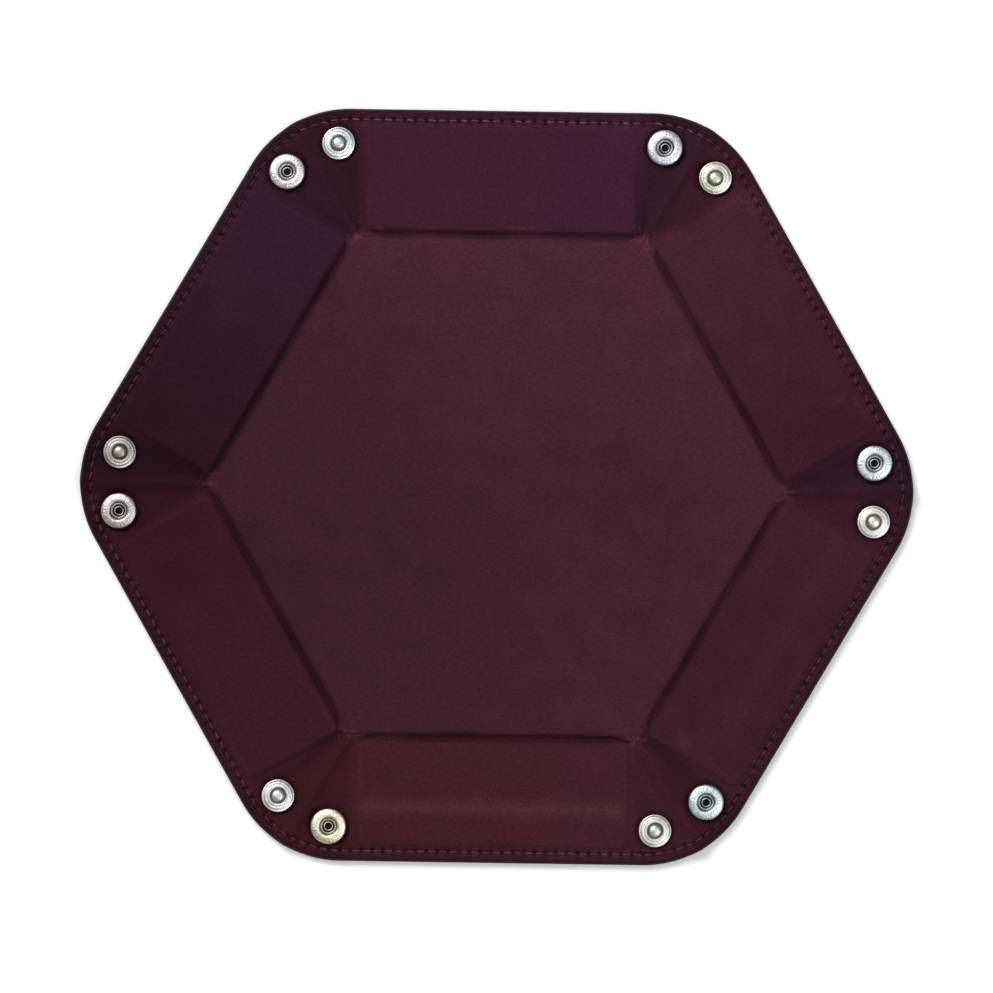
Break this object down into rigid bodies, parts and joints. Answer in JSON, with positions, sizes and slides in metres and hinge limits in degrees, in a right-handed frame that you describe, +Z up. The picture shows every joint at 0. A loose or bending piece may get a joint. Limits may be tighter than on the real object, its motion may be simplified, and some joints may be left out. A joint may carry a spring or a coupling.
{
  "type": "folding dice tray",
  "caption": "Flat hexagonal dice tray with velvet lining and black leatherette back; its walls fold up and paired press studs hold the folded corners.",
  "frame": {"origin": "centre of the underside, on the surface the tray lies on", "axes": "+Z up out of the velvet floor, +X from the centre to a corner of the hexagon, +Y square to one flat side"},
  "size_m": [0.2902, 0.262, 0.0057],
  "materials": {
    "velvet": "short-pile burgundy velvet",
    "leatherette": "black fine-grain leatherette, satin",
    "board": "raw grey board",
    "snap_metal": "nickel-plated, lightly worn"
  },
  "bodies": {
    "floor": {"floor_velvet": "velvet", "floor_board": "board", "floor_leather": "leatherette"},
    "wall_1": {"wall_1_velvet": "velvet", "wall_1_board": "board", "wall_1_leather": "leatherette"},
    "wall_1_stud_ear": {"wall_1_stud_gusset": "velvet", "wall_1_stud": "snap_metal", "wall_1_stud_rivet": "snap_metal"},
    "wall_1_socket_ear": {"wall_1_socket_gusset": "velvet", "wall_1_socket": "snap_metal", "wall_1_socket_cap": "snap_metal"},
    "wall_2": {"wall_2_velvet": "velvet", "wall_2_board": "board", "wall_2_leather": "leatherette"},
    "wall_2_stud_ear": {"wall_2_stud_gusset": "velvet", "wall_2_stud": "snap_metal", "wall_2_stud_rivet": "snap_metal"},
    "wall_2_socket_ear": {"wall_2_socket_gusset": "velvet", "wall_2_socket": "snap_metal", "wall_2_socket_cap": "snap_metal"},
    "wall_3": {"wall_3_velvet": "velvet", "wall_3_board": "board", "wall_3_leather": "leatherette"},
    "wall_3_stud_ear": {"wall_3_stud_gusset": "velvet", "wall_3_stud": "snap_metal", "wall_3_stud_rivet": "snap_metal"},
    "wall_3_socket_ear": {"wall_3_socket_gusset": "velvet", "wall_3_socket": "snap_metal", "wall_3_socket_cap": "snap_metal"},
    "wall_4": {"wall_4_velvet": "velvet", "wall_4_board": "board", "wall_4_leather": "leatherette"},
    "wall_4_stud_ear": {"wall_4_stud_gusset": "velvet", "wall_4_stud": "snap_metal", "wall_4_stud_rivet": "snap_metal"},
    "wall_4_socket_ear": {"wall_4_socket_gusset": "velvet", "wall_4_socket": "snap_metal", "wall_4_socket_cap": "snap_metal"},
    "wall_5": {"wall_5_velvet": "velvet", "wall_5_board": "board", "wall_5_leather": "leatherette"},
    "wall_5_stud_ear": {"wall_5_stud_gusset": "velvet", "wall_5_stud": "snap_metal", "wall_5_stud_rivet": "snap_metal"},
    "wall_5_socket_ear": {"wall_5_socket_gusset": "velvet", "wall_5_socket": "snap_metal", "wall_5_socket_cap": "snap_metal"},
    "wall_6": {"wall_6_velvet": "velvet", "wall_6_board": "board", "wall_6_leather": "leatherette"},
    "wall_6_stud_ear": {"wall_6_stud_gusset": "velvet", "wall_6_stud": "snap_metal", "wall_6_stud_rivet": "snap_metal"},
    "wall_6_socket_ear": {"wall_6_socket_gusset": "velvet", "wall_6_socket": "snap_metal", "wall_6_socket_cap": "snap_metal"}
  },
  "joints": [
    {"name": "wall_1_fold", "type": "hinge", "parent": "floor", "child": "wall_1", "pos_m": [0.07578, 0.04375, 0.004], "axis": [0.5, -0.866, 0], "range_deg": [0, 82]},
    {"name": "wall_1_stud_ear_fold", "type": "hinge", "parent": "wall_1", "child": "wall_1_stud_ear", "pos_m": [0.05112, 0.08646, 0.0017], "axis": [-0.866, -0.5, 0], "range_deg": [0, 57]},
    {"name": "wall_1_socket_ear_fold", "type": "hinge", "parent": "wall_1", "child": "wall_1_socket_ear", "pos_m": [0.10044, 0.00104, 0.0017], "axis": [0.866, 0.5, 0], "range_deg": [0, 57]},
    {"name": "wall_2_fold", "type": "hinge", "parent": "floor", "child": "wall_2", "pos_m": [0, 0.0875, 0.004], "axis": [1, 0, 0], "range_deg": [0, 82]},
    {"name": "wall_2_stud_ear_fold", "type": "hinge", "parent": "wall_2", "child": "wall_2_stud_ear", "pos_m": [-0.04932, 0.0875, 0.0017], "axis": [0, -1, 0], "range_deg": [0, 57]},
    {"name": "wall_2_socket_ear_fold", "type": "hinge", "parent": "wall_2", "child": "wall_2_socket_ear", "pos_m": [0.04932, 0.0875, 0.0017], "axis": [0, 1, 0], "range_deg": [0, 57]},
    {"name": "wall_3_fold", "type": "hinge", "parent": "floor", "child": "wall_3", "pos_m": [-0.07578, 0.04375, 0.004], "axis": [0.5, 0.866, 0], "range_deg": [0, 82]},
    {"name": "wall_3_stud_ear_fold", "type": "hinge", "parent": "wall_3", "child": "wall_3_stud_ear", "pos_m": [-0.10044, 0.00104, 0.0017], "axis": [0.866, -0.5, 0], "range_deg": [0, 57]},
    {"name": "wall_3_socket_ear_fold", "type": "hinge", "parent": "wall_3", "child": "wall_3_socket_ear", "pos_m": [-0.05112, 0.08646, 0.0017], "axis": [-0.866, 0.5, 0], "range_deg": [0, 57]},
    {"name": "wall_4_fold", "type": "hinge", "parent": "floor", "child": "wall_4", "pos_m": [-0.07578, -0.04375, 0.004], "axis": [-0.5, 0.866, 0], "range_deg": [0, 82]},
    {"name": "wall_4_stud_ear_fold", "type": "hinge", "parent": "wall_4", "child": "wall_4_stud_ear", "pos_m": [-0.05112, -0.08646, 0.0017], "axis": [0.866, 0.5, 0], "range_deg": [0, 57]},
    {"name": "wall_4_socket_ear_fold", "type": "hinge", "parent": "wall_4", "child": "wall_4_socket_ear", "pos_m": [-0.10044, -0.00104, 0.0017], "axis": [-0.866, -0.5, 0], "range_deg": [0, 57]},
    {"name": "wall_5_fold", "type": "hinge", "parent": "floor", "child": "wall_5", "pos_m": [0, -0.0875, 0.004], "axis": [-1, 0, 0], "range_deg": [0, 82]},
    {"name": "wall_5_stud_ear_fold", "type": "hinge", "parent": "wall_5", "child": "wall_5_stud_ear", "pos_m": [0.04932, -0.0875, 0.0017], "axis": [0, 1, 0], "range_deg": [0, 57]},
    {"name": "wall_5_socket_ear_fold", "type": "hinge", "parent": "wall_5", "child": "wall_5_socket_ear", "pos_m": [-0.04932, -0.0875, 0.0017], "axis": [0, -1, 0], "range_deg": [0, 57]},
    {"name": "wall_6_fold", "type": "hinge", "parent": "floor", "child": "wall_6", "pos_m": [0.07578, -0.04375, 0.004], "axis": [-0.5, -0.866, 0], "range_deg": [0, 82]},
    {"name": "wall_6_stud_ear_fold", "type": "hinge", "parent": "wall_6", "child": "wall_6_stud_ear", "pos_m": [0.10044, -0.00104, 0.0017], "axis": [-0.866, 0.5, 0], "range_deg": [0, 57]},
    {"name": "wall_6_socket_ear_fold", "type": "hinge", "parent": "wall_6", "child": "wall_6_socket_ear", "pos_m": [0.05112, -0.08646, 0.0017], "axis": [0.866, -0.5, 0], "range_deg": [0, 57]}
  ],
  "couplings": [
    {"joint": "wall_1_stud_ear_fold", "follows": "wall_1_fold", "ratio": 0.69},
    {"joint": "wall_1_socket_ear_fold", "follows": "wall_1_fold", "ratio": 0.69},
    {"joint": "wall_2_fold", "follows": "wall_1_fold", "ratio": 1},
    {"joint": "wall_2_stud_ear_fold", "follows": "wall_1_fold", "ratio": 0.69},
    {"joint": "wall_2_socket_ear_fold", "follows": "wall_1_fold", "ratio": 0.69},
    {"joint": "wall_3_fold", "follows": "wall_1_fold", "ratio": 1},
    {"joint": "wall_3_stud_ear_fold", "follows": "wall_1_fold", "ratio": 0.69},
    {"joint": "wall_3_socket_ear_fold", "follows": "wall_1_fold", "ratio": 0.69},
    {"joint": "wall_4_fold", "follows": "wall_1_fold", "ratio": 1},
    {"joint": "wall_4_stud_ear_fold", "follows": "wall_1_fold", "ratio": 0.69},
    {"joint": "wall_4_socket_ear_fold", "follows": "wall_1_fold", "ratio": 0.69},
    {"joint": "wall_5_fold", "follows": "wall_1_fold", "ratio": 1},
    {"joint": "wall_5_stud_ear_fold", "follows": "wall_1_fold", "ratio": 0.69},
    {"joint": "wall_5_socket_ear_fold", "follows": "wall_1_fold", "ratio": 0.69},
    {"joint": "wall_6_fold", "follows": "wall_1_fold", "ratio": 1},
    {"joint": "wall_6_stud_ear_fold", "follows": "wall_1_fold", "ratio": 0.69},
    {"joint": "wall_6_socket_ear_fold", "follows": "wall_1_fold", "ratio": 0.69}
  ]
}
